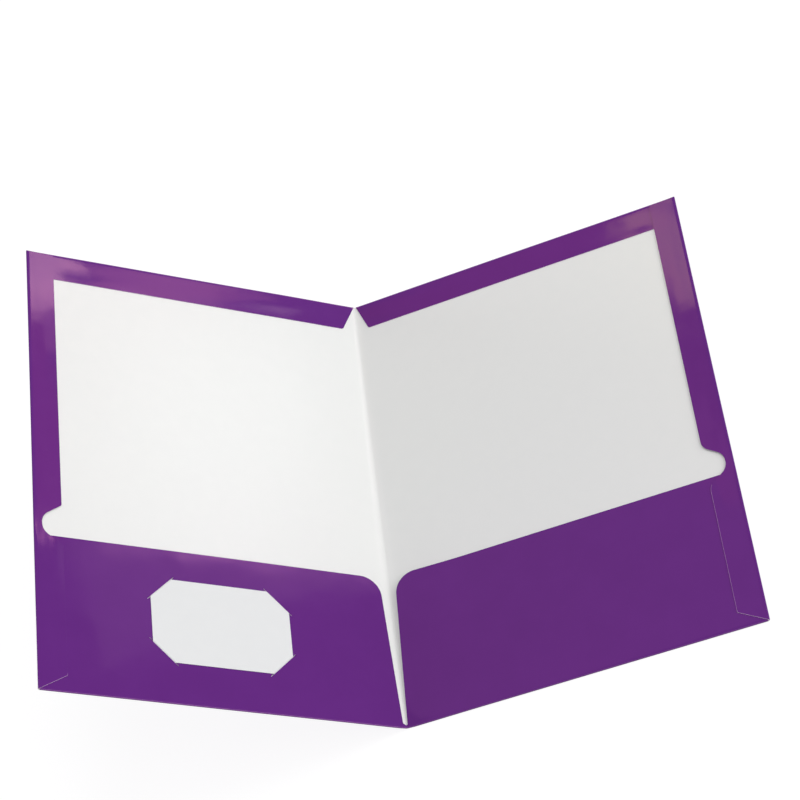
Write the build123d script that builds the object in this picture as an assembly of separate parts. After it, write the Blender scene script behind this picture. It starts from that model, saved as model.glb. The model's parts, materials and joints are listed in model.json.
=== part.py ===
from build123d import *
import os

# Driving dimensions: millimetres and degrees.
cover_width = 220.0
cover_height = 310.0
board_thickness = 0.30
film_thickness = 0.06
open_angle = 134.0
spine_radius = 2.0

top_hem_depth = 19.5
top_hem_spine_cut = 8.5
top_hem_spine_start = 0.8
top_hem_corner_radius = 2.0
side_hem_depth = 17.0
side_hem_head_drop = 0.8
side_hem_foot_rise = 10.5

notch_above_pocket = 8.0
notch_mouth = 27.0
notch_tip = 10.0
notch_depth = 12.0
notch_tip_radius = 9.0
notch_mouth_radius = 4.0

pocket_height = 101.5
pocket_room = 0.33
pocket_spine_gap_foot = 1.5
pocket_spine_gap_mouth = 5.5
pocket_corner_radius = 13.0
pocket_side_clearance = 0.3

glue_thickness = 0.06
glue_margin = 2.0

card_width = 85.0
card_height = 55.0
card_thickness = 0.25
card_from_spine = 109.5
card_below_mouth = 47.5
card_corner_tuck = 12.75
card_clearance = 0.04
slit_width = 1.0
slit_overrun = 3.2

# Levels through the folded stack, up from the outer face of a cover.
sheet = board_thickness + film_thickness
inside_face = sheet
top_hem_level = inside_face + glue_thickness
pocket_level = inside_face + pocket_room
pocket_face = pocket_level + sheet
side_hem_level = pocket_face + glue_thickness

# The sheet turns at these lines, so that its folds end flush with the cover's outline.
side_room = side_hem_level - inside_face
foot_line = sheet + pocket_room / 2
head_line = cover_height - sheet - glue_thickness / 2
edge_line = cover_width - sheet - side_room / 2
hem_edge = cover_width - side_hem_depth
top_hem_edge = cover_height - top_hem_depth
card_from_foot = pocket_height - card_below_mouth


def plate(outline, bottom, thickness):
    """A flat sheet of the given outline, with its lower face at the given level."""
    return extrude(Pos(0, 0, bottom) * outline, amount=thickness, dir=(0, 0, 1))


def rectangle(left, right, low, high):
    """A rectangle between two distances from the spine and two from the foot."""
    return Pos((left + right) / 2, (low + high) / 2) * Rectangle(right - left, high - low)


def rounded(outline, corner, radius):
    """The outline with its corner nearest the given point rounded off."""
    nearest = outline.vertices().sort_by_distance((corner[0], corner[1], 0))[0]
    return fillet(nearest, radius)


def fold(start, along, outward, length, room):
    """A sheet turned back on itself round the given room, as a half tube along its crease."""
    outer_radius = room / 2 + sheet
    half = Rectangle(outer_radius, 2 * outer_radius, align=(Align.MIN, Align.CENTER))
    tube = (Circle(outer_radius) - Circle(room / 2)) & half
    crease = Plane(origin=start, x_dir=outward, z_dir=along)
    return extrude(crease * tube, amount=length, dir=along)


def spine_layer(inner_radius, thickness):
    """One layer of the spine crease: a ring sector from the back cover to the front cover."""
    turn = 180 - open_angle
    inner = CenterArc((0, 0), inner_radius, -90, turn)
    outer = CenterArc((0, 0), inner_radius + thickness, -90, turn)
    section = make_face([inner, outer, Line(inner @ 0, outer @ 0), Line(inner @ 1, outer @ 1)])
    crease = Plane(
        origin=(0, foot_line, inside_face + spine_radius), x_dir=(-1, 0, 0), z_dir=(0, 1, 0)
    )
    return extrude(crease * section, amount=head_line - foot_line, dir=(0, 1, 0))


def top_hem_outline():
    """The head hem: cut on a slant at the spine, running under the side hem at the fore-edge."""
    raw_corner = (top_hem_spine_cut, top_hem_edge)
    outline = Polygon(
        (top_hem_spine_start, head_line),
        raw_corner,
        (edge_line - pocket_side_clearance, top_hem_edge),
        (edge_line - pocket_side_clearance, head_line),
        align=None,
    )
    return rounded(outline, raw_corner, top_hem_corner_radius)


def side_hem_outline():
    """The fore-edge hem: mitred at the foot, near square at the head, with a thumb notch above the pocket."""
    notch_centre = pocket_height + notch_above_pocket
    tip_edge = hem_edge + notch_depth
    upper_mouth = (hem_edge, notch_centre + notch_mouth / 2)
    lower_mouth = (hem_edge, notch_centre - notch_mouth / 2)
    upper_tip = (tip_edge, notch_centre + notch_tip / 2)
    lower_tip = (tip_edge, notch_centre - notch_tip / 2)
    outline = Polygon(
        (edge_line, foot_line),
        (edge_line, head_line),
        (hem_edge, head_line - side_hem_head_drop),
        upper_mouth,
        upper_tip,
        lower_tip,
        lower_mouth,
        (hem_edge, side_hem_foot_rise),
        align=None,
    )
    for corner in (upper_tip, lower_tip):
        outline = rounded(outline, corner, notch_tip_radius)
    for corner in (upper_mouth, lower_mouth):
        outline = rounded(outline, corner, notch_mouth_radius)
    return outline


def pocket_outline():
    """The pocket flap: full width at the foot, tapered along the spine, one round corner."""
    mouth_corner = (pocket_spine_gap_mouth, pocket_height)
    outline = Polygon(
        (pocket_spine_gap_foot, foot_line),
        mouth_corner,
        (edge_line - pocket_side_clearance, pocket_height),
        (edge_line - pocket_side_clearance, foot_line),
        align=None,
    )
    return rounded(outline, mouth_corner, pocket_corner_radius)


def card_slits():
    """Four slanted slits in the pocket flap, one across each corner of the card."""
    length = card_corner_tuck * 2**0.5 + 2 * slit_overrun
    slits = []
    for side in (-1, 1):
        for end in (-1, 1):
            across = card_from_spine + side * (card_width - card_corner_tuck) / 2
            up = card_from_foot + end * (card_height - card_corner_tuck) / 2
            slits.append(Pos(across, up) * Rot(0, 0, -45 * side * end) * Rectangle(length, slit_width))
    return slits


def business_card():
    """A card lying on the pocket flap, its corners bent down through the slits."""
    upper = pocket_face + card_clearance
    lower = inside_face + card_clearance
    ramp = upper - lower
    crease = ((card_width + card_height) / 2 - card_corner_tuck) / 2**0.5
    reach = crease + card_corner_tuck
    section = Polygon(
        (-ramp, upper),
        (crease - ramp / 2, upper),
        (crease + ramp / 2, lower),
        (reach, lower),
        (reach, lower + card_thickness),
        (crease + ramp / 2, lower + card_thickness),
        (crease - ramp / 2, upper + card_thickness),
        (-ramp, upper + card_thickness),
        align=None,
    )
    card = Part()
    for side in (-1, 1):
        for end in (-1, 1):
            diagonal = Vector(side, end, 0).normalized()
            slant = Plane(origin=(0, 0, 0), x_dir=diagonal, z_dir=diagonal.cross(Vector(0, 0, 1)))
            bent = extrude(slant * section, amount=card_width, both=True)
            quarter = Pos(side * card_width / 4, end * card_height / 4) * Box(
                card_width / 2, card_height / 2, 4 * upper
            )
            card += bent & quarter
    return Pos(card_from_spine, card_from_foot) * card


def glue_spot(left, right, low, high, bottom, top):
    """A film of glue between two faces, set in from the outline it holds."""
    outline = rectangle(left + glue_margin, right - glue_margin, low + glue_margin, high - glue_margin)
    return plate(outline, bottom, top - bottom)


def cover_pieces(slits):
    """All pieces of one cover, with the spine along the left and the foot at the front."""
    cover = rectangle(0, edge_line, foot_line, head_line)
    pocket = pocket_outline()
    for slit in slits:
        pocket -= slit
    hem_end = edge_line - pocket_side_clearance
    return {
        "cover": plate(cover, film_thickness, board_thickness),
        "cover_film": plate(cover, 0, film_thickness),
        "top_hem": plate(top_hem_outline(), top_hem_level, sheet),
        "top_fold": fold(
            (top_hem_spine_start, head_line, inside_face + glue_thickness / 2),
            (1, 0, 0),
            (0, 1, 0),
            edge_line - top_hem_spine_start,
            glue_thickness,
        ),
        "top_glue": glue_spot(
            top_hem_spine_cut, hem_end, top_hem_edge, head_line, inside_face, top_hem_level
        ),
        "side_hem": plate(side_hem_outline(), side_hem_level, sheet),
        "side_fold": fold(
            (edge_line, foot_line, inside_face + side_room / 2),
            (0, 1, 0),
            (1, 0, 0),
            head_line - foot_line,
            side_room,
        ),
        "corner_glue": glue_spot(
            hem_edge,
            hem_end,
            top_hem_edge,
            head_line - side_hem_head_drop,
            top_hem_level + sheet,
            side_hem_level,
        ),
        "pocket": plate(pocket, pocket_level, board_thickness),
        "pocket_film": plate(pocket, pocket_level + board_thickness, film_thickness),
        "pocket_fold": fold(
            (pocket_spine_gap_foot, foot_line, inside_face + pocket_room / 2),
            (1, 0, 0),
            (0, -1, 0),
            edge_line - pocket_spine_gap_foot,
            pocket_room,
        ),
        "pocket_glue": glue_spot(
            hem_edge,
            hem_end,
            side_hem_foot_rise,
            pocket_height + notch_above_pocket - notch_mouth / 2,
            pocket_face,
            side_hem_level,
        ),
    }


def opened(shape):
    """The mirror image of a piece, swung about the spine to where the front cover stands."""
    spine_axis = Pos(0, 0, inside_face + spine_radius)
    return spine_axis * Rot(0, 180 - open_angle, 0) * spine_axis.inverse() * mirror(shape, about=Plane.YZ)


pieces = {}
for name, shape in cover_pieces([]).items():
    pieces["back_" + name] = shape
for name, shape in cover_pieces(card_slits()).items():
    pieces["front_" + name] = opened(shape)
pieces["spine_fold"] = spine_layer(spine_radius, board_thickness)
pieces["spine_film"] = spine_layer(spine_radius + board_thickness, film_thickness)
pieces["business_card"] = opened(business_card())

# The origin is the centre of the back cover's outer face, on the table.
os.makedirs("parts", exist_ok=True)
for name, shape in pieces.items():
    export_step(Pos(-cover_width / 2, -cover_height / 2, 0) * shape, f"parts/{name}.step")
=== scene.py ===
"""Dress the open two pocket folder: laminated sheets, turned hems, pockets, spine crease and card.

Every sheet is worked out in the flat frame of its own cover, in millimetres: u runs from the spine to
the fore-edge, v from the foot to the head, and n up from the cover's outer face through the stack.
"""

import json
import logging
from dataclasses import dataclass, field
from enum import Enum, IntEnum
from math import cos, pi, radians, sin, sqrt, tan
from typing import NamedTuple

import bpy
import numpy as np
from mathutils import Matrix, Quaternion, Vector

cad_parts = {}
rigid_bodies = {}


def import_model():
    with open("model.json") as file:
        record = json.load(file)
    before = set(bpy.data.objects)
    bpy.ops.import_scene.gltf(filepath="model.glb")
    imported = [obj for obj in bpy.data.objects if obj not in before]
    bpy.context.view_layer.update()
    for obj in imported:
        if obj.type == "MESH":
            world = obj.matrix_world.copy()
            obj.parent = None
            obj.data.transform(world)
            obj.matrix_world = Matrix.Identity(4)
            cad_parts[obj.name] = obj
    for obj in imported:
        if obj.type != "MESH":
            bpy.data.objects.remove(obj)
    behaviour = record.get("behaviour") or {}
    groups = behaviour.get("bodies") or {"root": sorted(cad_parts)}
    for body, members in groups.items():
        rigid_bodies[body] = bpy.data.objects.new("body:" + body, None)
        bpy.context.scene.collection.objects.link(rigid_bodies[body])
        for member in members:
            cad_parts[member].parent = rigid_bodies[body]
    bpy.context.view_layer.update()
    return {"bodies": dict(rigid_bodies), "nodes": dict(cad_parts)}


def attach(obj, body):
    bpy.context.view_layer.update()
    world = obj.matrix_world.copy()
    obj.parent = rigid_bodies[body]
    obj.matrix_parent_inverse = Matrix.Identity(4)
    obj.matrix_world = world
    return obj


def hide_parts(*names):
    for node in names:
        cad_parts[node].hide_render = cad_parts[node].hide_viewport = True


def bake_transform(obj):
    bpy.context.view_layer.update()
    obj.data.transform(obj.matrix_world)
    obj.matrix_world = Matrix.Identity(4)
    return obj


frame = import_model()

Colour = tuple[float, float, float]
Pair = tuple[float, float]
Material = bpy.types.Material
Node = bpy.types.Node
Object = bpy.types.Object
Socket = bpy.types.NodeSocket

MM = 0.001
# A mark is this less a distance in millimetres, so a piece without marks counts as far away.
NEARNESS = 100.0
# Kept between a crease and a raw edge that runs into it, so that no face is empty.
EDGE_MARGIN = 0.05
# Keeps a run without length from dividing by 0.
TINY = 1e-12
# Each wave of a ripple: turns across, turns along, share of the phase, and weight.
WAVES = ((1.0, 0.6, 1.0, 1.0), (1.7, -0.8, 2.1, 0.6), (0.55, 1.45, 3.7, 0.8))
# The range that holds most values of a cloud pattern.
CLOUD_SPAN = (0.3, 0.7)
# The faces of an upright bar, whose corners are its four feet and then its four tops.
BAR_FACES = np.array([[3, 2, 1, 0], [4, 5, 6, 7], [0, 1, 5, 4], [1, 2, 6, 5], [2, 3, 7, 6], [3, 0, 4, 7]])
log = logging.getLogger("folder")


class Side(Enum):
    """Which cover a sheet belongs to."""

    BACK = "back"
    FRONT = "front"


class Skin(IntEnum):
    """The order of materials on a sheet."""

    FILM = 0
    BOARD = 1
    EDGE = 2


@dataclass(frozen=True)
class FolderSizes:
    """The folder's driving dimensions in millimetres, and the levels that follow from them."""

    cover_width: float = 220.0
    cover_height: float = 310.0
    board: float = 0.30
    film: float = 0.06
    glue: float = 0.06
    open_angle: float = 134.0
    spine_radius: float = 2.0
    spine_play: float = 0.02
    pocket_room: float = 0.33
    pocket_height: float = 101.5
    end_clearance: float = 0.3
    top_hem_depth: float = 19.5
    side_hem_depth: float = 17.0

    @property
    def sheet(self) -> float:
        """Board and film together."""
        return self.board + self.film

    @property
    def hinge_level(self) -> float:
        """The hinge's axis above the cover's outer face."""
        return self.sheet + self.spine_radius

    @property
    def top_hem_level(self) -> float:
        """Underside of the head hem."""
        return self.sheet + self.glue

    @property
    def pocket_level(self) -> float:
        """Underside of the pocket flap."""
        return self.sheet + self.pocket_room

    @property
    def pocket_face(self) -> float:
        """Upper face of the pocket flap."""
        return self.pocket_level + self.sheet

    @property
    def side_hem_level(self) -> float:
        """Underside of the fore-edge hem."""
        return self.pocket_face + self.glue

    @property
    def side_room(self) -> float:
        """Clear room inside the fore-edge fold."""
        return self.side_hem_level - self.sheet

    @property
    def foot_line(self) -> float:
        """Where the sheet starts to turn at the foot."""
        return self.sheet + self.pocket_room / 2

    @property
    def head_line(self) -> float:
        """Where the sheet starts to turn at the head."""
        return self.cover_height - self.sheet - self.glue / 2

    @property
    def edge_line(self) -> float:
        """Where the sheet starts to turn at the fore-edge."""
        return self.cover_width - self.sheet - self.side_room / 2

    @property
    def hem_edge(self) -> float:
        """Raw edge of the fore-edge hem."""
        return self.cover_width - self.side_hem_depth

    @property
    def top_hem_edge(self) -> float:
        """Raw edge of the head hem."""
        return self.cover_height - self.top_hem_depth

    @property
    def flap_end(self) -> float:
        """Where the head hem and the pocket flap end, under the fore-edge hem."""
        return self.edge_line - self.end_clearance

    @property
    def turn(self) -> float:
        """How far the front cover is swung up from lying flat open, in radians."""
        return radians(180.0 - self.open_angle)


def smooth_step(x: np.ndarray) -> np.ndarray:
    """Ease from 0 to 1 as x goes from 0 to 1: 3x squared less 2x cubed, held outside that range."""
    held = np.clip(x, 0.0, 1.0)
    return held * held * (3.0 - 2.0 * held)


def spaced(start: float, end: float, step: float) -> np.ndarray:
    """Even stations from start to end, no more than a step apart."""
    return np.linspace(start, end, max(2, int(np.ceil(abs(end - start) / step)) + 1))


def grid(u: np.ndarray, v: np.ndarray, n: np.ndarray | float) -> np.ndarray:
    """Stretch three arrays to one shape and stack them as the points of a grid."""
    return np.stack(np.broadcast_arrays(u, v, n), -1)


def rounded_chain(points: list[Pair], radii: list[float], steps: int = 14) -> np.ndarray:
    """Round the inner corners of an open chain of straight cuts.

    At each corner the arc touches both cuts at radius / tan(half angle) from it.

    Args:
        points: Corners of the chain, ends included.
        radii: One radius for each inner corner, 0 for a sharp one.
        steps: Points along each arc.

    Returns:
        The chain as an array of points.
    """
    corners = np.array(points, float)
    runs = [corners[:1]]
    for before, corner, after, radius in zip(corners[:-2], corners[1:-1], corners[2:], radii):
        if radius <= 0:
            runs.append(corner[None])
            continue
        back = (before - corner) / np.linalg.norm(before - corner)
        ahead = (after - corner) / np.linalg.norm(after - corner)
        half = np.arccos(np.clip(back @ ahead, -1.0, 1.0)) / 2
        middle = (back + ahead) / np.linalg.norm(back + ahead)
        centre = corner + middle * radius / sin(half)
        first = corner + back * radius / tan(half) - centre
        last = corner + ahead * radius / tan(half) - centre
        sweep = np.arccos(np.clip(first @ last / radius**2, -1.0, 1.0))
        share = np.linspace(0.0, 1.0, steps)[:, None]
        arc = (np.sin((1 - share) * sweep) * first + np.sin(share * sweep) * last) / sin(sweep)
        runs.append(centre + arc)
    runs.append(corners[-1:])
    return np.concatenate(runs)


def distance_to_chain(points: np.ndarray, chain: np.ndarray) -> np.ndarray:
    """Distance from each point to the nearest place on a chain of straight runs.

    Args:
        points: Points in the flat frame, one a row.
        chain: The chain's points, one a row.

    Returns:
        One distance for each point.
    """
    start = chain[:-1]
    run = chain[1:] - start
    length = np.maximum((run * run).sum(1), TINY)
    gap = points[:, None, :] - start[None]
    share = np.clip((gap * run[None]).sum(2) / length[None], 0.0, 1.0)
    nearest = gap - share[..., None] * run[None]
    return np.sqrt((nearest * nearest).sum(2).min(1))


def ripple(u: np.ndarray, v: np.ndarray, lengths: Pair, phase: float) -> np.ndarray:
    """A lazy ripple between -1 and 1: slanted sine waves of near lengths, added up by weight.

    Args:
        u: Distances from the spine.
        v: Distances from the foot.
        lengths: Wavelengths across and along, in millimetres.
        phase: Shift that makes one sheet's ripple differ from another's.

    Returns:
        The ripple, shaped as u and v together.
    """
    across = 2 * pi * u / lengths[0]
    along = 2 * pi * v / lengths[1]
    waves = [weight * np.sin(a * across + b * along + c * phase) for a, b, c, weight in WAVES]
    return sum(waves) / sum(weight for *_, weight in WAVES)


def stand(name: str, data: bpy.types.ID) -> Object:
    """Put data into the scene as an object at the origin.

    Args:
        name: The object's name.
        data: Its mesh, lamp or camera.

    Returns:
        The object.
    """
    thing = bpy.data.objects.new(name, data)
    bpy.context.scene.collection.objects.link(thing)
    return thing


@dataclass
class SheetMesh:
    """A closed thin sheet."""

    points: np.ndarray
    faces: list[list[int]]
    skins: np.ndarray

    @classmethod
    def between(cls, film: np.ndarray, board: np.ndarray) -> "SheetMesh":
        """Join two matching grids, the film side and the board side, with walls round their border.

        Args:
            film: Grid of points on the film side, rows by columns by 3.
            board: Grid of points on the board side, of the same shape.

        Returns:
            The closed sheet, its faces pointing outwards.
        """
        rows, columns = film.shape[:2]
        count = rows * columns
        index = np.arange(count).reshape(rows, columns)
        near = np.stack([index[:-1, :-1], index[:-1, 1:], index[1:, 1:], index[1:, :-1]], -1).reshape(-1, 4)
        far = near[:, ::-1] + count
        border = np.concatenate([index[0, :], index[1:, -1], index[-1, -2::-1], index[-2:0:-1, 0]])
        after = np.roll(border, -1)
        walls = np.stack([after, border, border + count, after + count], -1)
        faces = np.concatenate([near, far, walls])
        points = np.concatenate([film.reshape(-1, 3), board.reshape(-1, 3)])
        corner = points[near]
        normal = np.cross(corner[:, 2] - corner[:, 0], corner[:, 3] - corner[:, 1])
        outward = points[near[:, 0]] - points[far[:, 0]]
        if (normal * outward).sum() < 0:
            faces = faces[:, ::-1]
        skins = np.repeat(list(Skin), [len(near), len(far), len(walls)])
        return cls(points, faces.tolist(), skins)

    @classmethod
    def slab(cls, across: np.ndarray, along: np.ndarray, film: float, board: float) -> "SheetMesh":
        """A flat sheet over a grid of stations, with its film side and its board side at these levels."""
        v, u = np.meshgrid(along, across, indexing="ij")
        return cls.between(grid(u, v, film), grid(u, v, board))

    def slit(self, cutters: "SheetMesh") -> "SheetMesh":
        """Cut other closed meshes out of this sheet, leaving raw edges.

        Args:
            cutters: What is cut out, in the same frame.

        Returns:
            The sheet with its cuts.
        """
        blanks = [bpy.data.materials.new(skin.name) for skin in Skin]
        body = self.stand("slit_body", blanks)
        blades = cutters.stand("slit_blades", blanks)
        cut = body.modifiers.new("cut", "BOOLEAN")
        cut.operation = "DIFFERENCE"
        cut.solver = "EXACT"
        cut.object = blades
        graph = bpy.context.evaluated_depsgraph_get()
        result = bpy.data.meshes.new_from_object(body.evaluated_get(graph))
        points = np.empty(3 * len(result.vertices), np.float32)
        result.vertices.foreach_get("co", points)
        skins = np.empty(len(result.polygons), np.int32)
        result.polygons.foreach_get("material_index", skins)
        faces = [list(polygon.vertices) for polygon in result.polygons]
        bpy.data.objects.remove(body)
        bpy.data.objects.remove(blades)
        return SheetMesh(points.reshape(-1, 3).astype(float), faces, skins)

    def stand(self, name: str, materials: list[Material]) -> Object:
        """Put the sheet into the scene.

        Args:
            name: The object's name.
            materials: The materials of its skins, in their order.

        Returns:
            The object.
        """
        data = bpy.data.meshes.new(name)
        data.from_pydata(self.points, [], self.faces)
        for material in materials:
            data.materials.append(material)
        data.polygons.foreach_set("material_index", np.asarray(self.skins, np.int32))
        return stand(name, data)


class Clouds(NamedTuple):
    """A cloud pattern: clouds in a metre, octaves, and the weight of the finer ones."""

    scale: float
    detail: float
    roughness: float


class Tree:
    """A short hand for wiring one material's nodes."""

    def __init__(self, name: str) -> None:
        """Start an empty material.

        Args:
            name: The material's name.
        """
        self.material = bpy.data.materials.new(name)
        self.material.use_nodes = True
        self.tree = self.material.node_tree
        self.tree.nodes.clear()

    def feed(self, entry: Socket, value: object) -> None:
        """Wire an input to the socket that feeds it, or set its value; a colour gets an alpha of 1.

        Args:
            entry: The input.
            value: A socket, a number or a colour.
        """
        if isinstance(value, Socket):
            self.tree.links.new(value, entry)
        else:
            entry.default_value = (*value, 1.0) if isinstance(value, tuple) else value

    def add(self, kind: str, *feeds: object, **values: object) -> Node:
        """Add a node, set its properties and feed its inputs.

        Args:
            kind: Blender's name of the node type, without its prefix.
            feeds: What its first inputs take, in order.
            values: Properties in lower case, and other inputs with underscores for spaces.

        Returns:
            The new node.
        """
        node = self.tree.nodes.new("ShaderNode" + kind)
        for key, value in values.items():
            if hasattr(node, key):
                setattr(node, key, value)
            else:
                self.feed(node.inputs[key.replace("_", " ")], value)
        for entry, value in zip(node.inputs, feeds):
            self.feed(entry, value)
        return node

    def noise(self, clouds: Clouds) -> Socket:
        """A cloud pattern on Object coordinates."""
        look = {"Scale": clouds.scale, "Detail": clouds.detail, "Roughness": clouds.roughness}
        return self.add("TexNoise", Vector=self.add("TexCoord").outputs["Object"], **look).outputs["Fac"]

    def remap(
        self, value: Socket, low: float, high: float, to_low: float = 0.0, to_high: float = 1.0
    ) -> Socket:
        """Carry one range of a value to another, straight and held at its ends."""
        node = self.add("MapRange", Value=value, From_Min=low, From_Max=high, To_Min=to_low, To_Max=to_high)
        return node.outputs["Result"]

    def near(self, mark: str, start: float, full: float, most: float = 1.0) -> Socket:
        """Rise from 0 to the most as a marked distance falls from its start to where it is full."""
        value = self.add("Attribute", attribute_name=mark).outputs["Fac"]
        return self.remap(value, NEARNESS - start, NEARNESS - full, 0.0, most)

    def work(self, operation: str, first: Socket, second: Socket) -> Socket:
        """Work out one value from two, by Blender's name of the operation."""
        return self.add("Math", first, second, operation=operation).outputs[0]

    def blend(self, share: Socket, first: Socket | Colour, second: Socket | Colour) -> Socket:
        """Mix two colours, through the colour sockets that the node has among those of other types.

        Args:
            share: How much of the second shows.
            first: Colour at 0.
            second: Colour at 1.

        Returns:
            The mixed colour's socket.
        """
        node = self.add("Mix", share, data_type="RGBA")
        self.feed(node.inputs[6], first)
        self.feed(node.inputs[7], second)
        return node.outputs[2]

    def relief(self, *parts: tuple[Socket, float]) -> Socket:
        """Stack bumps, each with its own real height.

        Args:
            parts: Height pattern and height in metres of each.

        Returns:
            The bumped normal's socket.
        """
        normal = {}
        for pattern, height in parts:
            bump = self.add("Bump", Strength=1.0, Distance=height, Height=pattern, **normal)
            normal = {"Normal": bump.outputs["Normal"]}
        return normal["Normal"]

    def close(self, shader: Node) -> Material:
        """Wire the shader to the output and hand back the material."""
        self.add("OutputMaterial", Surface=shader.outputs[0])
        return self.material


@dataclass(frozen=True)
class PurpleLaminate:
    """Gloss film over deep purple print, a little uneven, whitened where it is cut, and paled along its folds
    by crazing and a painted highlight.
    """

    deep: Colour = (0.116, 0.0152, 0.212)
    worn: Colour = (0.121, 0.0165, 0.220)
    cut_fibre: Colour = (0.66, 0.40, 0.70)
    # Pale lilac for the folds: partly real crazing of the film, partly a painted highlight for the light line
    # that a fold catches.
    crazed_and_highlit_film: Colour = (0.40, 0.20, 0.46)
    sheen: Colour = (1.0, 0.58, 0.74)
    specular: float = 0.5
    ior: float = 1.49
    roughness: Pair = (0.05, 0.075)
    tone: Clouds = Clouds(38.0, 3.0, 0.55)
    tone_span: Pair = (0.35, 0.65)
    craze: Clouds = Clouds(900.0, 2.0, 0.6)
    craze_and_highlight_strength: Pair = (0.45, 0.95)
    craze_and_highlight_width: float = 0.45
    cut_width: float = 0.18
    cut_full: float = 0.045
    cut_strength: float = 0.8
    waves: Clouds = Clouds(42.0, 1.5, 0.45)
    wave_height: float = 0.00007
    peel: Clouds = Clouds(650.0, 1.0, 0.5)
    peel_height: float = 0.0000015

    def build(self) -> Material:
        """Wire the film: a cloudy print, paled along folds by crazing and a painted highlight and by fibre at
        cuts, under a wavy gloss.

        Returns:
            The film's material.
        """
        tree = Tree("purple_laminate")
        tone = tree.noise(self.tone)
        printed = tree.blend(tree.remap(tone, *self.tone_span), self.deep, self.worn)
        # Along each fold the print is paled: partly real crazing, partly a painted highlight standing in for
        # the fold's light line.
        crazing = tree.remap(tree.noise(self.craze), *CLOUD_SPAN, *self.craze_and_highlight_strength)
        craze_and_highlight_mask = tree.work("MULTIPLY", tree.near("fold_near", self.craze_and_highlight_width, 0.0), crazing)
        print_with_craze_and_highlight = tree.blend(craze_and_highlight_mask, printed, self.crazed_and_highlit_film)
        rim = tree.near("cut_near", self.cut_width, self.cut_full, self.cut_strength)
        waves = (tree.noise(self.waves), self.wave_height)
        peel = (tree.noise(self.peel), self.peel_height)
        shader = tree.add(
            "BsdfPrincipled",
            Base_Color=tree.blend(rim, print_with_craze_and_highlight, self.cut_fibre),
            Roughness=tree.remap(tone, *CLOUD_SPAN, *self.roughness),
            Normal=tree.relief(waves, peel),
            Specular_IOR_Level=self.specular,
            Specular_Tint=self.sheen,
            IOR=self.ior,
        )
        return tree.close(shader)


@dataclass(frozen=True)
class CoatedBoard:
    """Smooth white board with a faint mottle and a fine fibre."""

    name: str = "white_board"
    white: Colour = (0.850, 0.861, 0.846)
    shade: Colour = (0.842, 0.854, 0.840)
    roughness: Pair = (0.17, 0.21)
    fibre_height: float = 0.0000008
    fibre: Clouds = Clouds(1500.0, 3.0, 0.6)
    mottle: Clouds = Clouds(120.0, 4.0, 0.6)
    mottle_span: Pair = (0.35, 0.7)
    specular: float = 0.5
    ior: float = 1.5

    def build(self) -> Material:
        """Wire the board: one cloud pattern mottles its colour and its gloss, a finer one raises its fibre.

        Returns:
            The board's material.
        """
        tree = Tree(self.name)
        mottle = tree.noise(self.mottle)
        shader = tree.add(
            "BsdfPrincipled",
            Base_Color=tree.blend(tree.remap(mottle, *self.mottle_span), self.white, self.shade),
            Roughness=tree.remap(mottle, *CLOUD_SPAN, *self.roughness),
            Normal=tree.relief((tree.noise(self.fibre), self.fibre_height)),
            Specular_IOR_Level=self.specular,
            IOR=self.ior,
        )
        return tree.close(shader)


@dataclass(frozen=True)
class CutEdge:
    """The raw edge of the sheet: white fibre, tinted where the film drags over it."""

    fibre: Colour = (0.80, 0.66, 0.82)
    drag: Colour = (0.52, 0.32, 0.58)
    fray: Clouds = Clouds(1100.0, 3.0, 0.65)
    fray_span: Pair = (0.45, 0.75)
    fray_height: float = 0.00003
    roughness: float = 0.8
    specular: float = 0.2

    def build(self) -> Material:
        """Wire the edge: one cloud pattern drags its colour and raises its fibre.

        Returns:
            The edge's material.
        """
        tree = Tree("cut_edge")
        fray = tree.noise(self.fray)
        shader = tree.add(
            "BsdfPrincipled",
            Base_Color=tree.blend(tree.remap(fray, *self.fray_span), self.fibre, self.drag),
            Normal=tree.relief((fray, self.fray_height)),
            Roughness=self.roughness,
            Specular_IOR_Level=self.specular,
        )
        return tree.close(shader)


@dataclass(frozen=True)
class ClearGlue:
    """A thin dried film of milky glue."""

    milky: Colour = (0.80, 0.77, 0.68)
    thin: Colour = (0.70, 0.68, 0.62)
    streaks: Clouds = Clouds(240.0, 2.0, 0.5)
    roughness: float = 0.45
    specular: float = 0.4

    def build(self) -> Material:
        """Wire the glue: a cloud pattern streaks its colour.

        Returns:
            The glue's material.
        """
        tree = Tree("clear_glue")
        colour = tree.blend(tree.noise(self.streaks), self.milky, self.thin)
        look = {"Roughness": self.roughness, "Specular_IOR_Level": self.specular}
        return tree.close(tree.add("BsdfPrincipled", Base_Color=colour, **look))


@dataclass
class Finishes:
    """Every material of the folder, made once, as the three skins of each kind of sheet."""

    laminated: list[Material]
    glue: list[Material]
    card: list[Material]

    @classmethod
    def make(cls) -> "Finishes":
        """Build all finishes.

        Returns:
            The finishes.
        """
        stock = CoatedBoard(
            name="card_stock", white=(0.795, 0.808, 0.810), shade=(0.788, 0.800, 0.803), roughness=(0.5, 0.62)
        )
        stock_edge = CoatedBoard(
            name="card_edge",
            white=(0.74, 0.74, 0.745),
            shade=(0.69, 0.69, 0.70),
            roughness=(0.7, 0.8),
            fibre_height=0.00002,
        )
        looks = (PurpleLaminate(), CoatedBoard(), CutEdge(), ClearGlue(), stock, stock_edge)
        film, board, edge, glue, card, raw = [look.build() for look in looks]
        return cls([film, board, edge], [glue] * len(Skin), [card, card, raw])


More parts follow.
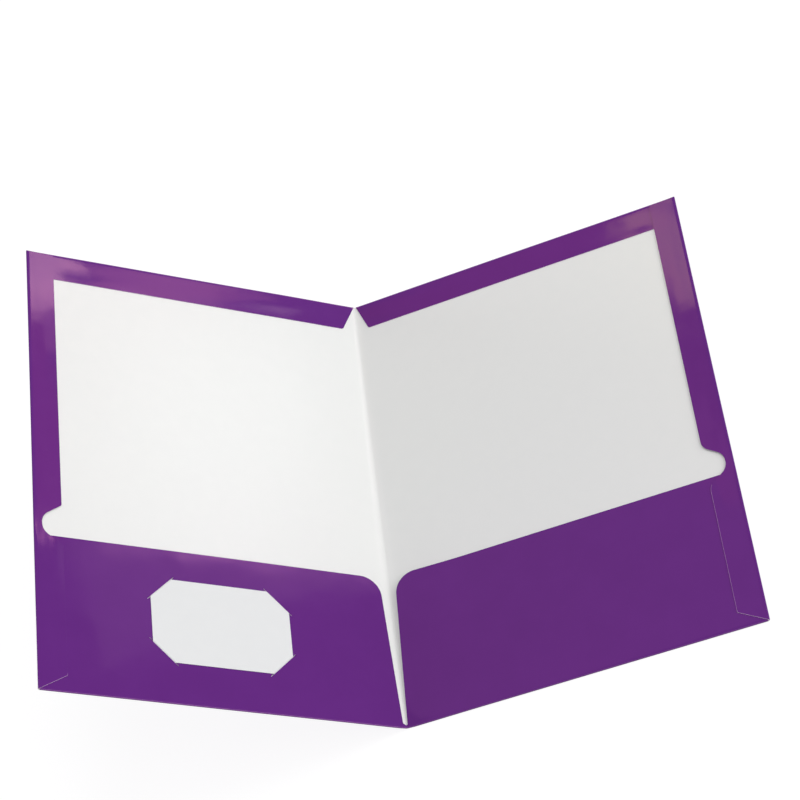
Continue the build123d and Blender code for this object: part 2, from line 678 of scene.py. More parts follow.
@dataclass
class Shop:
    """Turns finished sheets into pieces, and keeps count of them."""

    finishes: Finishes
    sharp_angle: float = 38.0
    made: list[Object] = field(default_factory=list)

    def piece(
        self, name: str, mesh: SheetMesh, skins: list[Material] | None = None, **marks: np.ndarray
    ) -> Object:
        """Make a smooth mesh object, sharp only where its faces turn by more than the sharp angle.

        Args:
            name: The piece's name.
            mesh: The sheet in place, in metres.
            skins: The materials of its skins, where it isn't laminated.
            marks: Named values at each point, for the materials.

        Returns:
            The new object.
        """
        piece = mesh.stand(name, skins or self.finishes.laminated)
        data = piece.data
        for label, values in marks.items():
            mark = data.attributes.new(label, "FLOAT", "POINT")
            mark.data.foreach_set("value", np.asarray(values, np.float32))
        data.polygons.foreach_set("use_smooth", np.ones(len(data.polygons), bool))
        data.set_sharp_from_angle(angle=radians(self.sharp_angle))
        data.update()
        self.made.append(piece)
        log.info("%s: %d points, %d faces", name, len(data.vertices), len(data.polygons))
        return piece


@dataclass(frozen=True)
class CoverFrame:
    """Where one cover stands, how its sheets leave the flat, and the shop that makes them."""

    side: Side
    sizes: FolderSizes
    shop: Shop
    phase: float
    crease_slope: float = 0.16
    crease_reach_head: float = 2.5
    crease_reach_foot: float = 5.0
    crease_soft_share: float = 0.75
    sway: float = 0.22
    sway_start: float = 40.0
    sway_lengths: Pair = (190.0, 260.0)

    @property
    def body(self) -> str:
        """The CAD body that this cover's pieces ride on."""
        return self.node("cover")

    def node(self, name: str) -> str:
        """The plain name with this cover's side before it."""
        return f"{self.side.value}_{name}"

    def crease_reach(self, v: np.ndarray) -> np.ndarray:
        """How far from the spine the sheet starts to rise: crisp at the head, soft towards the foot."""
        share = smooth_step((self.sizes.head_line - v) / (self.crease_soft_share * self.sizes.head_line))
        return self.crease_reach_head + (self.crease_reach_foot - self.crease_reach_head) * share

    def crease_rise(self, v: np.ndarray) -> np.ndarray:
        """Rise at the spine: a parabola over the reach that ends at the crease's slope."""
        return 0.5 * self.crease_slope * self.crease_reach(v)

    def lift(self, u: np.ndarray, v: np.ndarray) -> np.ndarray:
        """How far the sheets rise: the crease's soft start, and a lazy sway that never goes below 0.

        Args:
            u: Distances from the spine.
            v: Distances from the foot.

        Returns:
            The rise in millimetres.
        """
        crease = self.crease_rise(v) * np.clip(1.0 - u / self.crease_reach(v), 0.0, 1.0) ** 2
        away = smooth_step((u - self.crease_reach_foot) / self.sway_start)
        sway = self.sway * 0.5 * (1.0 + ripple(u, v, self.sway_lengths, self.phase))
        return crease + away * sway

    def placed(self, sheet: SheetMesh) -> SheetMesh:
        """Take a sheet of the flat frame to where the cover stands, in metres.

        The back cover lies on the table. The front cover is its mirror image, swung about the spine, so
        its faces are wound the other way.

        Args:
            sheet: The sheet in the flat frame, in millimetres.

        Returns:
            The sheet in place.
        """
        sizes = self.sizes
        u, v, n = sheet.points.T
        n = n + self.lift(u, v)
        y = v - sizes.cover_height / 2
        if self.side is Side.BACK:
            x, z, faces = u, n, sheet.faces
        else:
            above = n - sizes.hinge_level
            x = -u * cos(sizes.turn) + above * sin(sizes.turn)
            z = sizes.hinge_level + u * sin(sizes.turn) + above * cos(sizes.turn)
            faces = [face[::-1] for face in sheet.faces]
        points = grid(x - sizes.cover_width / 2, y, z) * MM
        return SheetMesh(points, faces, sheet.skins)

    def sheet(
        self, name: str, mesh: SheetMesh, skins: list[Material] | None = None, **past: np.ndarray
    ) -> Object:
        """Make a piece of a flat sheet, marked with how near each point is to a cut or a fold.

        Args:
            name: The piece's plain name.
            mesh: The sheet in the flat frame.
            skins: The materials of its skins, where it isn't laminated.
            past: Distance of each point from the cut or the fold, by the mark's name.

        Returns:
            The placed piece, riding on this cover.
        """
        marks = {label: NEARNESS - np.maximum(distance, 0.0) for label, distance in past.items()}
        piece = self.shop.piece(self.node(name), self.placed(mesh), skins, **marks)
        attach(piece, self.body)
        return piece


class Layer(NamedTuple):
    """One side of a sheet seen along a fold: distances in the cover's plane, and levels over it."""

    distance: np.ndarray
    level: np.ndarray


def half_round(
    sizes: FolderSizes, crease: float, outward: float, room: np.ndarray, steps: int = 12
) -> list[Layer]:
    """The half round of a fold, seen along its crease: circles of the film's and the board's radius.

    Args:
        sizes: The folder's sizes.
        crease: Where the sheet starts to turn.
        outward: 1 where the fold stands out to greater distances, -1 to smaller ones.
        room: Clear room inside the fold at each station along it.
        steps: Parts of the half round.

    Returns:
        The film side and the board side, angles by stations.
    """
    angle = np.linspace(-pi / 2, pi / 2, steps + 1)[:, None]
    inner = room[None] / 2
    middle = sizes.sheet + inner
    return [
        Layer(crease + outward * radius * np.cos(angle), middle + radius * np.sin(angle))
        for radius in (inner + sizes.sheet, inner)
    ]


def foot_fold(sizes: FolderSizes) -> list[Layer]:
    """The profile of the fold along the foot, a half round: film side and board side."""
    sides = half_round(sizes, sizes.foot_line, -1.0, np.array([sizes.pocket_room]))
    return [Layer(side.distance[:, 0], side.level[:, 0]) for side in sides]


@dataclass
class CoverPanel:
    """The large flat panel of one cover: white board inside, film outside."""

    cover: CoverFrame
    step: float = 5.0
    crease_step: float = 0.5

    def build(self) -> None:
        """A flat slab, film below and board above, with close stations by the crease."""
        sizes = self.cover.sizes
        reach = self.cover.crease_reach_foot
        near = spaced(sizes.spine_play, reach, self.crease_step)
        across = np.concatenate([near, spaced(reach, sizes.edge_line, self.step)[1:]])
        along = spaced(sizes.foot_line, sizes.head_line, self.step)
        mesh = SheetMesh.slab(across, along, 0.0, sizes.sheet)
        piece = self.cover.sheet("cover_panel", mesh)
        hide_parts(self.cover.node("cover"), self.cover.node("cover_film"))


@dataclass(frozen=True)
class HemPucker:
    """The slight puckers of a hem over its glue."""

    height: float
    lengths: Pair
    phase: float
    start: float = 8.0

    def at(self, u: np.ndarray, v: np.ndarray, from_fold: np.ndarray) -> np.ndarray:
        """Rise in millimetres: a ripple over u and v that dies out at the hem's fold."""
        return self.height * ripple(u, v, self.lengths, self.phase) * smooth_step(from_fold / self.start)


@dataclass(kw_only=True)
class TurnedHem:
    """What both hems of a cover share: a half round along the crease, then rows in to the raw edge."""

    cover: CoverFrame
    step: float = 2.0
    rows: int = 12

    def rows_in(self, crease: float, edge: np.ndarray) -> np.ndarray:
        """Distances that go from the crease to the raw edge in even shares, rows by stations."""
        share = np.linspace(0.0, 1.0, self.rows + 1)[1:, None]
        return crease + (np.minimum(edge, crease - EDGE_MARGIN) - crease)[None] * share

    def sides(self, crease: float, room: np.ndarray, inward: np.ndarray, under: np.ndarray) -> list[Layer]:
        """Carry the half round of the fold on into the rows of the hem.

        Args:
            crease: Where the sheet starts to turn.
            room: Clear room inside the fold at each station.
            inward: Distances of the rows.
            under: Levels of the hem's underside on the rows.

        Returns:
            The film side and the board side, rows by stations.
        """
        sizes = self.cover.sizes
        levels = (under + sizes.sheet, under)
        return [
            Layer(np.concatenate([fold.distance, inward]), np.concatenate([fold.level, level]))
            for fold, level in zip(half_round(sizes, crease, 1.0, room), levels)
        ]


@dataclass(kw_only=True)
class HeadHem(TurnedHem):
    """The hem turned in at the head, cut on a slant at the spine."""

    spine_start: float
    spine_cut: float
    corner_radius: float = 2.0
    slant_step: float = 0.4
    pucker: HemPucker = HemPucker(0.035, (95.0, 24.0), 1.1)

    def raw_edge(self) -> np.ndarray:
        """The cut from the head down the slanted end and along the hem.

        Returns:
            The cut's points.
        """
        sizes = self.cover.sizes
        corners = [
            (self.spine_start, sizes.head_line),
            (self.spine_cut, sizes.top_hem_edge),
            (sizes.flap_end, sizes.top_hem_edge),
        ]
        return rounded_chain(corners, [self.corner_radius])

    def build(self) -> None:
        """A half round along the head, then rows that run down to the raw edge."""
        sizes = self.cover.sizes
        chain = self.raw_edge()
        slant = spaced(self.spine_start, self.spine_cut, self.slant_step)
        along = spaced(self.spine_cut, sizes.flap_end, self.step)
        u = np.unique(np.concatenate([slant, along, chain[:, 0]]))
        down = self.rows_in(sizes.head_line, np.interp(u, chain[:, 0], chain[:, 1]))
        under = sizes.top_hem_level + self.pucker.at(u, down, sizes.head_line - down)
        sides = self.sides(sizes.head_line, np.full(len(u), sizes.glue), down, under)
        mesh = SheetMesh.between(*[grid(u, side.distance, side.level) for side in sides])
        past_fold = sizes.head_line - mesh.points[:, 1]
        # The fold mark drives the film's paling along the head fold: real crazing plus a painted highlight.
        piece = self.cover.sheet("head_hem", mesh, fold_near=past_fold)
        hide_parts(self.cover.node("top_hem"), self.cover.node("top_fold"))


@dataclass(kw_only=True)
class SideHem(TurnedHem):
    """The hem turned in at the fore-edge: mitred at the foot, with a thumb notch above the pocket."""

    mouth_radius: float
    tip_radius: float = 9.0
    foot_radius: float = 0.6
    head_radius: float = 0.3
    head_drop: float = 0.8
    foot_rise: float = 10.5
    notch_above_pocket: float = 8.0
    notch_mouth: float = 27.0
    notch_tip: float = 10.0
    notch_depth: float = 12.0
    rim_fade: float = 0.0
    rim_fade_run: float = 2.0
    rim_end: float = 5.0
    droop: float = 0.22
    droop_start: float = 2.0
    droop_run: float = 40.0
    pucker: HemPucker = HemPucker(0.03, (24.0, 110.0), 0.5)

    @property
    def head_level(self) -> float:
        """Underside of the hem where it has come down onto the head hem."""
        return self.cover.sizes.side_hem_level - self.droop

    @property
    def notch_middle(self) -> float:
        """Height of the notch's middle above the foot."""
        return self.cover.sizes.pocket_height + self.notch_above_pocket

    def raw_edge(self) -> np.ndarray:
        """The cut from the foot corner up the hem, round the notch and to the head corner.

        Returns:
            The cut's points.
        """
        sizes = self.cover.sizes
        middle = self.notch_middle
        tip = sizes.hem_edge + self.notch_depth
        corners = [
            (sizes.edge_line, sizes.foot_line),
            (sizes.hem_edge, self.foot_rise),
            (sizes.hem_edge, middle - self.notch_mouth / 2),
            (tip, middle - self.notch_tip / 2),
            (tip, middle + self.notch_tip / 2),
            (sizes.hem_edge, middle + self.notch_mouth / 2),
            (sizes.hem_edge, sizes.head_line - self.head_drop),
            (sizes.edge_line, sizes.head_line),
        ]
        notch = [self.mouth_radius, self.tip_radius, self.tip_radius, self.mouth_radius]
        return rounded_chain(corners, [self.foot_radius, *notch, self.head_radius])

    def build(self) -> None:
        """A half round along the fore-edge, then rows that run in to the raw edge."""
        sizes = self.cover.sizes
        chain = self.raw_edge()
        v = np.unique(np.concatenate([spaced(sizes.foot_line, sizes.head_line, self.step), chain[:, 1]]))
        inward = self.rows_in(sizes.edge_line, np.interp(v, chain[:, 1], chain[:, 0]))
        drop = self.droop * smooth_step((v - sizes.pocket_height - self.droop_start) / self.droop_run)
        under = sizes.side_hem_level - drop + self.pucker.at(inward, v, sizes.edge_line - inward)
        sides = self.sides(sizes.edge_line, sizes.side_room - drop, inward, under)
        mesh = SheetMesh.between(*[grid(side.distance, v, side.level) for side in sides])
        over_pocket = chain[chain[:, 1] < sizes.pocket_height - self.rim_end]
        fade = self.rim_fade * smooth_step((mesh.points[:, 1] - self.foot_rise) / self.rim_fade_run)
        past_cut = distance_to_chain(mesh.points[:, :2], over_pocket) + fade
        piece = self.cover.sheet("fore_edge_hem", mesh, cut_near=past_cut)
        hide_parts(self.cover.node("side_hem"), self.cover.node("side_fold"))


@dataclass(frozen=True)
class PocketSwell:
    """How the free mouth of a pocket stands off its cover."""

    sizes: FolderSizes
    mouth_height: float
    corner_height: float
    corner_reach: float = 50.0
    corner_power: float = 0.6
    foot_hold: float = 2.0
    edge_hold: float = 4.0
    hold_run: float = 120.0

    def at(self, u: np.ndarray, v: np.ndarray) -> np.ndarray:
        """Nothing at the foot and under the fore-edge hem, most at the free corner by the spine.

        Args:
            u: Distances from the spine.
            v: Distances from the foot.

        Returns:
            The swell in millimetres.
        """
        climb = np.clip((v - self.foot_hold) / (self.sizes.pocket_height - self.foot_hold), 0.0, 1.0)
        held = smooth_step((self.sizes.hem_edge - self.edge_hold - u) / self.hold_run)
        corner = smooth_step(1.0 - u / self.corner_reach)
        mouth = self.mouth_height * smooth_step(climb) * held
        return mouth + self.corner_height * climb**self.corner_power * corner


@dataclass(frozen=True)
class CardPlace:
    """Where the card sits on its pocket, and how far its corners are tucked in."""

    sizes: FolderSizes
    width: float = 85.0
    height: float = 55.0
    thickness: float = 0.25
    from_spine: float = 109.5
    below_mouth: float = 47.5
    tuck: float = 12.75
    clearance: float = 0.04
    slit_width: float = 0.45
    slit_overrun: float = 2.6
    ramp_run: float = 0.3

    @property
    def from_foot(self) -> float:
        """Height of the card's middle above the foot."""
        return self.sizes.pocket_height - self.below_mouth

    def slit_outlines(self) -> list[np.ndarray]:
        """The outline of each slit, a slim bar at 45 degrees across a corner of the card.

        Returns:
            The four corners of each bar, counter-clockwise.
        """
        half = self.tuck / sqrt(2) + self.slit_overrun
        centre = np.array([self.from_spine, self.from_foot])
        reach = np.array([self.width - self.tuck, self.height - self.tuck]) / 2
        outlines = []
        for side, end in ((-1, -1), (-1, 1), (1, 1), (1, -1)):
            middle = centre + np.array([side, end]) * reach
            along = np.array([1.0, -side * end]) / sqrt(2) * half
            across = np.array([side, end]) / sqrt(2) * self.slit_width / 2
            bar = [-along - across, along - across, along + across, across - along]
            outlines.append((middle + np.array(bar))[::end])
        return outlines

    def blades(self, low: float, high: float) -> SheetMesh:
        """Four upright bars between two levels, to cut the slits with.

        Args:
            low: Level of their feet.
            high: Level of their tops.

        Returns:
            The bars as one closed mesh.
        """
        rings = np.array(self.slit_outlines())
        bars, corners = rings.shape[:2]
        rings = np.tile(rings, (1, 2, 1))
        levels = np.broadcast_to(np.repeat([low, high], corners), (bars, 2 * corners))
        points = grid(rings[..., 0], rings[..., 1], levels).reshape(-1, 3)
        faces = (BAR_FACES + 2 * corners * np.arange(bars)[:, None, None]).reshape(-1, 4)
        return SheetMesh(points, faces.tolist(), np.full(len(faces), Skin.EDGE))


@dataclass
class PocketFlap:
    """The flap turned up at the foot, with one round corner by the spine."""

    cover: CoverFrame
    swell: PocketSwell
    spine_gap_foot: float
    spine_gap_mouth: float
    card: CardPlace | None = None
    gap_end: float = 1.4
    gap_end_rise: float = 1.2
    gap_end_radius: float = 0.3
    # Pushes the foot fold's crazing and painted highlight back, so it is weaker than at the head.
    craze_and_highlight_fade: float = 0.33
    corner_radius: float = 13.0
    corner_steps: int = 22
    blade_overshoot: float = 0.2
    step: float = 4.0

    def raw_edge(self) -> np.ndarray:
        """The cut from the spine just above the foot, up the gap, round the corner and along the mouth.

        Returns:
            The cut's points.
        """
        sizes = self.cover.sizes
        start = sizes.foot_line + self.gap_end
        corners = [
            (sizes.spine_play, sizes.foot_line),
            (sizes.spine_play, start),
            (self.spine_gap_foot, start + self.gap_end_rise),
            (self.spine_gap_mouth, sizes.pocket_height),
            (sizes.flap_end, sizes.pocket_height),
        ]
        return rounded_chain(corners, [0.0, self.gap_end_radius, self.corner_radius], self.corner_steps)

    def build(self) -> None:
        """A half round along the foot, then rows up to the mouth, each from the spine to the fore-edge."""
        sizes = self.cover.sizes
        left, rise = self.raw_edge()[:-1].T
        up = np.unique(np.concatenate([spaced(sizes.foot_line, sizes.pocket_height, self.step), rise]))
        left = np.interp(up, rise, left)
        share = np.linspace(0.0, 1.0, int(sizes.cover_width / self.step))
        sides = []
        for fold, flat in zip(foot_fold(sizes), (sizes.pocket_face, sizes.pocket_level)):
            v = np.concatenate([fold.distance, up[1:]])[:, None]
            n = np.concatenate([fold.level, np.full(len(up) - 1, flat)])[:, None]
            start = np.concatenate([np.full(len(fold.level), left[0]), left[1:]])[:, None]
            sides.append(grid(start + (sizes.flap_end - start) * share, v, n))
        mesh = SheetMesh.between(*sides)
        if self.card is not None:
            low, high = sizes.pocket_level - self.blade_overshoot, sizes.pocket_face + self.blade_overshoot
            mesh = mesh.slit(self.card.blades(low, high))
        mesh.points[:, 2] += self.swell.at(mesh.points[:, 0], mesh.points[:, 1])
        # The fold mark, pushed back by the fade, drives the film's crazing and painted highlight along the
        # foot fold.
        past_fold = np.maximum(mesh.points[:, 1] - sizes.foot_line, 0.0) + self.craze_and_highlight_fade
        piece = self.cover.sheet("pocket_flap", mesh, fold_near=past_fold)
        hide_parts(*[self.cover.node(part) for part in ("pocket", "pocket_film", "pocket_fold")])


@dataclass
class GlueFilm:
    """A film of glue between two layers of one cover."""

    cover: CoverFrame
    name: str
    left: float
    low: float
    high: float
    bottom: float
    top: float
    margin: float = 2.0
    step: float = 6.0

    def build(self) -> None:
        """A flat slab from one layer to the next, set in from what it holds."""
        across = spaced(self.left + self.margin, self.cover.sizes.flap_end - self.margin, self.step)
        along = spaced(self.low + self.margin, self.high - self.margin, self.step)
        mesh = SheetMesh.slab(across, along, self.top, self.bottom)
        piece = self.cover.sheet(f"{self.name}_spread", mesh, self.cover.shop.finishes.glue)
        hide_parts(self.cover.node(self.name))


@dataclass
class CoverAssembly:
    """One cover with everything that is folded and glued onto it."""

    cover: CoverFrame
    head: HeadHem
    side: SideHem
    pocket: PocketFlap

    def glue(self) -> list[GlueFilm]:
        """The glue under the head hem, between the hems at the head corner, and on the pocket's end.

        Returns:
            The glue films.
        """
        sizes, side = self.cover.sizes, self.side
        edge, top_edge, head = sizes.hem_edge, sizes.top_hem_edge, sizes.head_line
        notch_foot = side.notch_middle - side.notch_mouth / 2
        top_face = sizes.top_hem_level + sizes.sheet
        spots = [
            ("top_glue", self.head.spine_cut, top_edge, head, sizes.sheet, sizes.top_hem_level),
            ("corner_glue", edge, top_edge, head - side.head_drop, top_face, side.head_level),
            ("pocket_glue", edge, side.foot_rise, notch_foot, sizes.pocket_face, sizes.side_hem_level),
        ]
        return [GlueFilm(self.cover, *spot) for spot in spots]

    def build(self) -> None:
        """Make the panel, hems, pocket and glue of this cover."""
        for part in (CoverPanel(self.cover), self.head, self.side, self.pocket, *self.glue()):
            part.build()


@dataclass
class SpineCrease:
    """The crease between the covers, made as it stands with the folder open."""

    cover: CoverFrame
    lip: float = 1.4
    lip_step: float = 0.5
    steps: int = 16
    step: float = 6.0

    def arcs(self, v: np.ndarray, level: np.ndarray) -> np.ndarray:
        """One side of the crease: at each station an arc about the hinge, pinched in a little.

        The pinch goes as share times (1 - share), so the arc leaves each cover at that cover's own slope.

        Args:
            v: Stations from the foot.
            level: The side's height above the cover's outer face at each station.

        Returns:
            Grid of points x, y, z in metres, each row from the back cover to the front cover.
        """
        sizes = self.cover.sizes
        share = np.linspace(0.0, 1.0, self.steps + 1)[None]
        start = (sizes.hinge_level - level - self.cover.crease_rise(v))[:, None]
        radius = start * (1.0 - self.cover.crease_slope * sizes.turn * share * (1.0 - share))
        angle = sizes.turn * share
        across = -radius * np.sin(angle) - sizes.cover_width / 2
        along = (v - sizes.cover_height / 2)[:, None]
        return grid(across, along, sizes.hinge_level - radius * np.cos(angle)) * MM

    def build(self) -> None:
        """The two sides of the crease: a short lip inside the foot, round the foot, and up to the head."""
        sizes = self.cover.sizes
        lip = spaced(sizes.foot_line + self.lip, sizes.foot_line, self.lip_step)[:-1]
        run = spaced(sizes.foot_line, sizes.head_line, self.step)[1:]
        ends = ((sizes.pocket_face, 0.0), (sizes.pocket_level, sizes.sheet))
        sides = []
        for fold, (inside, outside) in zip(foot_fold(sizes), ends):
            v = np.concatenate([lip, fold.distance[::-1], run])
            n = np.concatenate([np.full(len(lip), inside), fold.level[::-1], np.full(len(run), outside)])
            sides.append(self.arcs(v, n))
        piece = self.cover.shop.piece("spine_crease", SheetMesh.between(*sides))
        middle = self.arcs(np.array([sizes.cover_height / 2]), np.array([sizes.sheet / 2]))[0].tolist()
        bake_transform(piece)
        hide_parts("spine_fold", "spine_film")


@dataclass
class BusinessCard:
    """A plain card, its four corners bent down through the slits of the pocket."""

    cover: CoverFrame
    place: CardPlace
    swell: PocketSwell
    bow: float = 0.35
    past_tuck: float = 3.0
    corner_step: float = 0.345
    middle_step: float = 2.5

    def stations(self, length: float) -> np.ndarray:
        """Stations along one side, close together where the corners bend.

        Args:
            length: The side's length.

        Returns:
            Distances from the side's middle.
        """
        count = int(np.ceil((self.place.tuck + self.past_tuck) / self.corner_step))
        close = np.arange(count + 1) * self.corner_step
        middle = spaced(close[-1], length - close[-1], self.middle_step)[1:-1]
        return np.concatenate([close, middle, length - close[::-1]]) - length / 2

    def build(self) -> None:
        """A bowed grid whose level drops by the pocket's depth past a 45 degree line at each corner."""
        place = self.place
        sizes = place.sizes
        q, p = np.meshgrid(self.stations(place.height), self.stations(place.width), indexing="ij")
        drop = sizes.pocket_face - sizes.sheet
        crease = ((place.width + place.height) / 2 - place.tuck) / sqrt(2)
        beyond = (np.abs(p) + np.abs(q)) / sqrt(2) - crease
        sunk = drop * np.clip(beyond / place.ramp_run + 0.5, 0.0, 1.0)
        crown = (1.0 - (2 * p / place.width) ** 2) * (1.0 - (2 * q / place.height) ** 2)
        u = p + place.from_spine
        v = q + place.from_foot
        level = sizes.pocket_face + place.clearance - sunk + self.bow * crown + self.swell.at(u, v)
        mesh = SheetMesh.between(grid(u, v, level + place.thickness), grid(u, v, level))
        shop = self.cover.shop
        piece = shop.piece("tucked_card", self.cover.placed(mesh), shop.finishes.card)
        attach(piece, "business_card")
        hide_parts("business_card")


@dataclass(frozen=True)
class Softbox:
    """A flat studio lamp: its direction from +Y towards +X and up in degrees, its size and its light."""

    name: str
    azimuth: float
    elevation: float
    width: float
    height: float
    radiance: float
    colour: Colour = (1.0, 1.0, 1.0)
    over: tuple[float, float, float] = (-0.075, 0.0, 0.05)
    roll: float = 0.0
    distance: float = 2.4

    @property
    def direction(self) -> Vector:
        """The way to the lamp from the point that it faces."""
        turn, rise = radians(self.azimuth), radians(self.elevation)
        return Vector((sin(turn) * cos(rise), cos(turn) * cos(rise), sin(rise)))

    def hang(self) -> None:
        """Hang the lamp in its direction from the point that it faces, rolled about that direction."""
        lamp = bpy.data.lights.new(self.name, "AREA")
        lamp.shape = "RECTANGLE"
        lamp.size = self.width
        lamp.size_y = self.height
        lamp.energy = self.radiance * pi * self.width * self.height
        lamp.color = self.colour
        hung = stand(self.name, lamp)
        hung.location = Vector(self.over) + self.direction * self.distance
        facing = self.direction.to_track_quat("Z", "Y") @ Quaternion((0.0, 0.0, 1.0), radians(self.roll))
        hung.rotation_euler = facing.to_euler()
        hung.visible_camera = False


@dataclass
class Studio:
    """White floor, soft lamps and the camera at the photograph's viewing angle."""

    eye: tuple[float, float, float] = (0.317182, -0.832539, 1.212163)
    aim: tuple[float, float, float] = (-0.068860, 0.028755, 0.058748)
    roll: float = 37.6915
    lens: float = 111.796
    sensor: float = 36.0
    clip_start: float = 0.05
    clip_end: float = 60.0
    floor_radius: float = 9.0
    floor_drop: float = 0.0002
    floor_rings: int = 12
    floor_sides: int = 48
    floor_start: float = 0.02
    floor_paper: float = 0.62
    floor_paper_seen: float = 0.22
    floor_glow_seen: float = 0.86
    floor_glow_mirrored: float = 0.30
    room_light: float = 0.41

    def lamps(self) -> list[Softbox]:
        """The lamps: three broad fills, and small ones that the film and the board mirror.

        Returns:
            Each lamp by name, azimuth, elevation, width, height, radiance, colour, point faced and roll.
        """
        left_corner = (-0.2575, 0.131, 0.153)
        left_head = (-0.203, 0.145, 0.099)
        left_middle = (-0.181, 0.045, 0.0735)
        left_mouth = (-0.186, -0.058, 0.081)
        left_edge = (-0.26, 0.03, 0.15)
        left_notch = (-0.2593, -0.037, 0.1557)
        right_corner = (0.098, 0.115, 0.0015)
        right_head = (0.0, 0.145, 0.0015)
        right_edge = (0.102, 0.02, 0.0015)
        right_pocket = (-0.01, -0.105, 0.0015)
        rose = (1.0, 0.78, 0.76)
        head_pink = (1.0, 0.55, 0.60)
        mouth_pink = (1.0, 0.66, 0.92)
        notch_pink = (1.0, 0.65, 0.76)
        red = (1.0, 0.1, 0.05)
        gold = (1.0, 0.88, 0.34)
        violet = (0.8, 0.45, 1.0)
        along_mouth = -24.5
        along_edge = -15.0
        return [
            Softbox("side_fill", 95.0, 24.0, 2.0, 1.6, 2.76),
            Softbox("outside_fill", 272.0, 10.0, 2.2, 0.75, 6.0),
            Softbox("top_fill", 62.0, 70.0, 1.2, 1.0, 3.6),
            Softbox("left_corner_glint", 47.83, 20.18, 0.10, 0.09, 5.2, rose, left_corner),
            Softbox("left_head_glint", 49.1, 17.9, 0.12, 0.19, 2.2, head_pink, left_head),
            Softbox("left_head_glow", 49.1, 17.9, 0.12, 0.36, 1.2, head_pink, left_head),
            Softbox("left_middle_sheen", 52.2, 17.9, 0.28, 0.34, 2.7, over=left_middle, roll=along_mouth),
            Softbox("left_mouth_glint", 55.84, 17.6, 0.024, 0.20, 8.0, mouth_pink, left_mouth, along_mouth),
            Softbox("left_mouth_band", 55.84, 17.4, 0.032, 0.46, 1.9, mouth_pink, left_mouth, along_mouth),
            Softbox("left_mouth_glow", 55.9, 18.4, 0.22, 0.45, 0.40, over=left_mouth),
            Softbox("left_notch_glint", 53.75, 22.3, 0.045, 0.02, 5.5, notch_pink, left_notch, along_edge),
            Softbox("left_edge_warmth", 51.2, 21.4, 0.34, 0.12, 0.5, red, left_edge),
            Softbox("right_head_warmth", -18.3, 49.6, 0.52, 0.14, 0.45, red, right_head),
            Softbox("right_edge_warmth", -14.2, 54.0, 0.12, 0.40, 0.3, red, right_edge),
            Softbox("right_corner_glint", -13.0, 51.3, 0.09, 0.19, 2.6, gold, right_corner),
            Softbox("right_pocket_glow", -24.0, 56.6, 0.75, 0.45, 0.45, violet, right_pocket),
        ]

    def floor(self) -> None:
        """A wide flat disc just under the folder: rings of radius squared by angle."""
        radius = np.linspace(self.floor_start, 1.0, self.floor_rings) ** 2 * self.floor_radius
        angle = np.linspace(0.0, 2 * pi, self.floor_sides, endpoint=False)
        r, a = np.meshgrid(radius, angle, indexing="ij")
        points = grid(r * np.cos(a), r * np.sin(a), -self.floor_drop).reshape(-1, 3)
        index = np.arange(r.size).reshape(r.shape)
        after = np.roll(index, -1, axis=1)
        quads = np.stack([index[:-1], index[1:], after[1:], after[:-1]], -1).reshape(-1, 4)
        mesh = bpy.data.meshes.new("floor")
        mesh.from_pydata(points, [], [*quads.tolist(), index[0].tolist()])
        mesh.materials.append(self.floor_finish())
        floor = stand("floor", mesh)

    def floor_finish(self) -> Material:
        """Matt paper that keeps its shadow: white to the eye, and lit a little more where it is mirrored.

        Returns:
            The floor's material.
        """
        tree = Tree("floor_paper")
        ray = tree.add("LightPath").outputs
        seen = ray["Is Camera Ray"]
        mirrored = tree.work("MAXIMUM", ray["Is Glossy Ray"], ray["Is Transmission Ray"])
        shade = tree.remap(seen, 0.0, 1.0, self.floor_paper, self.floor_paper_seen)
        to_eye = tree.remap(seen, 0.0, 1.0, 0.0, self.floor_glow_seen)
        in_mirror = tree.remap(mirrored, 0.0, 1.0, 0.0, self.floor_glow_mirrored)
        paper = tree.add("BsdfDiffuse", Color=shade)
        glow = tree.add("Emission", Color=(1.0, 1.0, 1.0), Strength=tree.work("MAXIMUM", to_eye, in_mirror))
        return tree.close(tree.add("AddShader", paper.outputs[0], glow.outputs[0]))

    def room(self) -> None:
        """An even grey room."""
        world = bpy.data.worlds.new("room")
        world.use_nodes = True
        sky = world.node_tree.nodes["Background"]
        sky.inputs["Color"].default_value = (1.0, 1.0, 1.0, 1.0)
        sky.inputs["Strength"].default_value = self.room_light
        bpy.context.scene.world = world

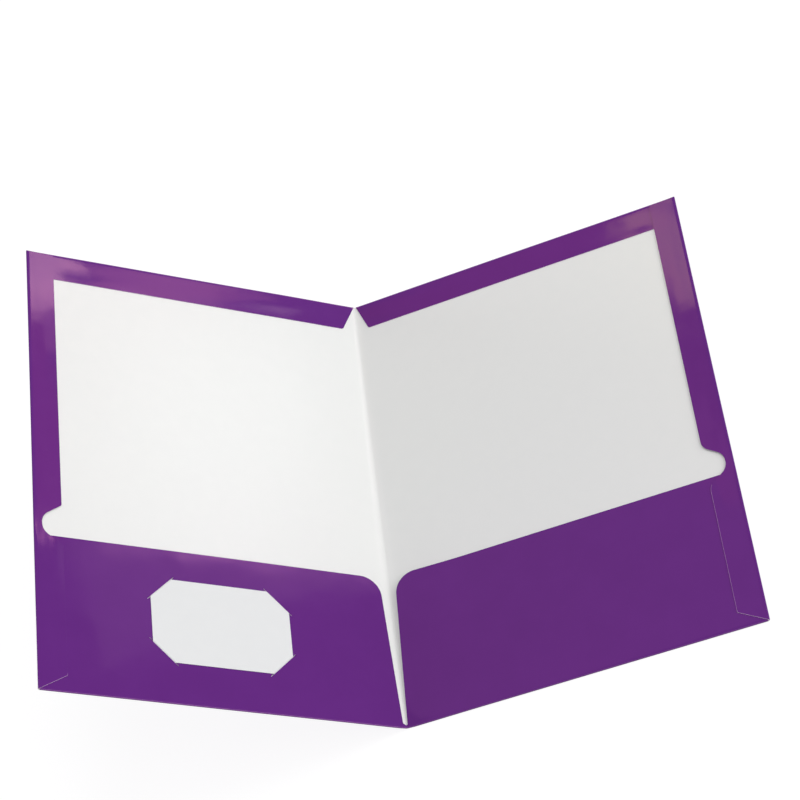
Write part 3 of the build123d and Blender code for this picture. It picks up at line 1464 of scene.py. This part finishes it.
    def camera(self) -> None:
        """Stand the camera at the eye, aimed and rolled."""
        data = bpy.data.cameras.new("camera")
        data.sensor_width = self.sensor
        data.lens = self.lens
        data.clip_start = self.clip_start
        data.clip_end = self.clip_end
        eye = Vector(self.eye)
        ahead = (Vector(self.aim) - eye).normalized()
        level = ahead.cross(Vector((0.0, 0.0, 1.0))).normalized()
        upright = level.cross(ahead)
        turn = radians(self.roll)
        up = upright * cos(turn) + level * sin(turn)
        right = level * cos(turn) - upright * sin(turn)
        camera = stand("camera", data)
        axes = Matrix((right, up, -ahead)).transposed()
        camera.matrix_world = Matrix.Translation(eye) @ axes.to_4x4()
        bpy.context.scene.camera = camera

    def build(self) -> None:
        """Set up floor, lamps, room and camera."""
        self.floor()
        for lamp in self.lamps():
            lamp.hang()
        self.room()
        self.camera()
        bpy.context.scene.view_settings.view_transform = "Standard"


def clear_start_scene() -> None:
    """Remove the objects of Blender's own start scene, and nothing of the frame."""
    kept = set(frame["nodes"].values()) | set(frame["bodies"].values())
    for thing in list(bpy.data.objects):
        if thing not in kept:
            bpy.data.objects.remove(thing)


def main() -> None:
    """Build the folder piece by piece, then the studio round it."""
    logging.basicConfig(level=logging.INFO, format="%(name)s %(message)s")
    clear_start_scene()
    sizes = FolderSizes()
    shop = Shop(Finishes.make())
    back = CoverFrame(Side.BACK, sizes, shop, phase=0.4)
    front = CoverFrame(Side.FRONT, sizes, shop, phase=2.3)
    card = CardPlace(sizes)
    pressed = PocketSwell(sizes, mouth_height=0.2, corner_height=0.0)
    sprung = PocketSwell(sizes, mouth_height=0.4, corner_height=1.7)
    CoverAssembly(
        back,
        HeadHem(cover=back, spine_start=0.05, spine_cut=7.0),
        SideHem(cover=back, mouth_radius=8.0),
        PocketFlap(back, sprung, spine_gap_foot=0.4, spine_gap_mouth=4.4),
    ).build()
    CoverAssembly(
        front,
        HeadHem(cover=front, spine_start=0.3, spine_cut=9.6),
        SideHem(cover=front, mouth_radius=1.8, rim_fade=0.15),
        PocketFlap(front, pressed, spine_gap_foot=1.6, spine_gap_mouth=6.0, card=card),
    ).build()
    SpineCrease(back).build()
    BusinessCard(front, card, pressed).build()
    Studio().build()
    log.info("%d pieces", len(shop.made))


if __name__ == "__main__":
    main()
